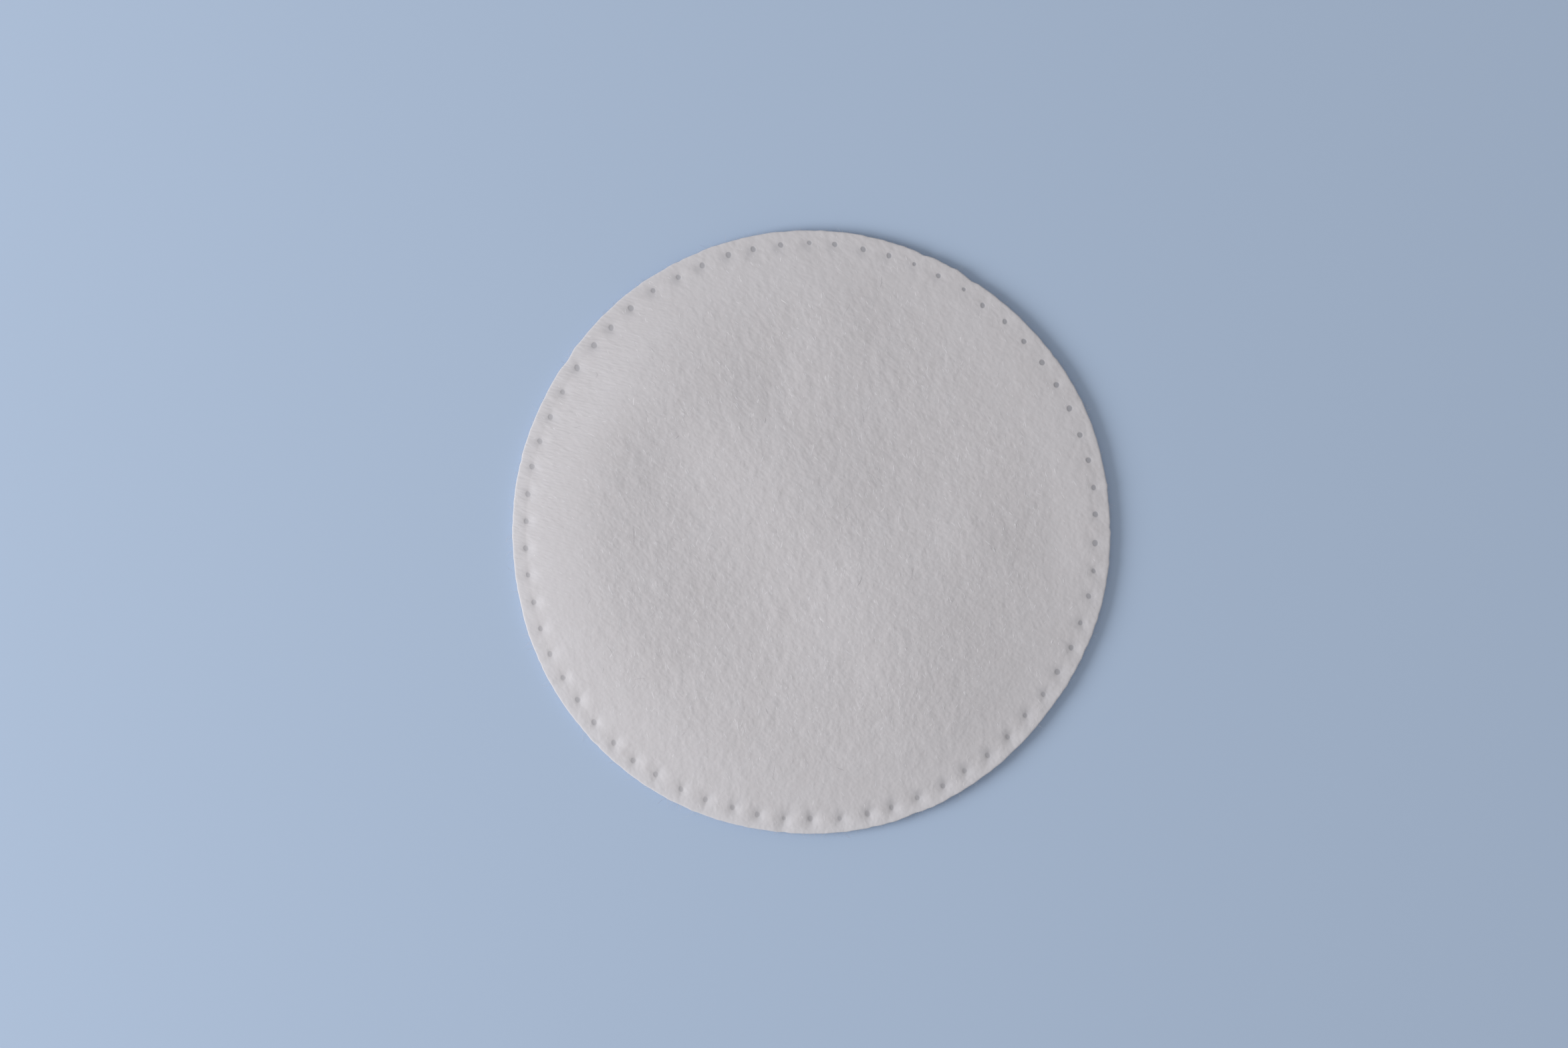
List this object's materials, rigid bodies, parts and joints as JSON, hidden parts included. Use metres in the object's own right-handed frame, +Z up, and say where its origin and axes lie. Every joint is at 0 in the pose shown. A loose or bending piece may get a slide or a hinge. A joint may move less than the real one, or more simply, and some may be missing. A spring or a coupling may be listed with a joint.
{
  "type": "cotton pad",
  "caption": "Round soft cotton pad with pillowed brushed faces, held together near its cut edge by a ring of small pressed pits.",
  "frame": {"origin": "middle of the pad's box, on the surface that the pad lies on", "axes": "+Z up through the thickness, out of the upper face; +X to the right and +Y away from the viewer as the picture shows the pad"},
  "size_m": [0.0578, 0.0582, 0.0025],
  "materials": {
    "cotton": "matt brushed cotton fibre"
  },
  "bodies": {
    "root": {"cotton_pad": "cotton"}
  },
  "joints": []
}
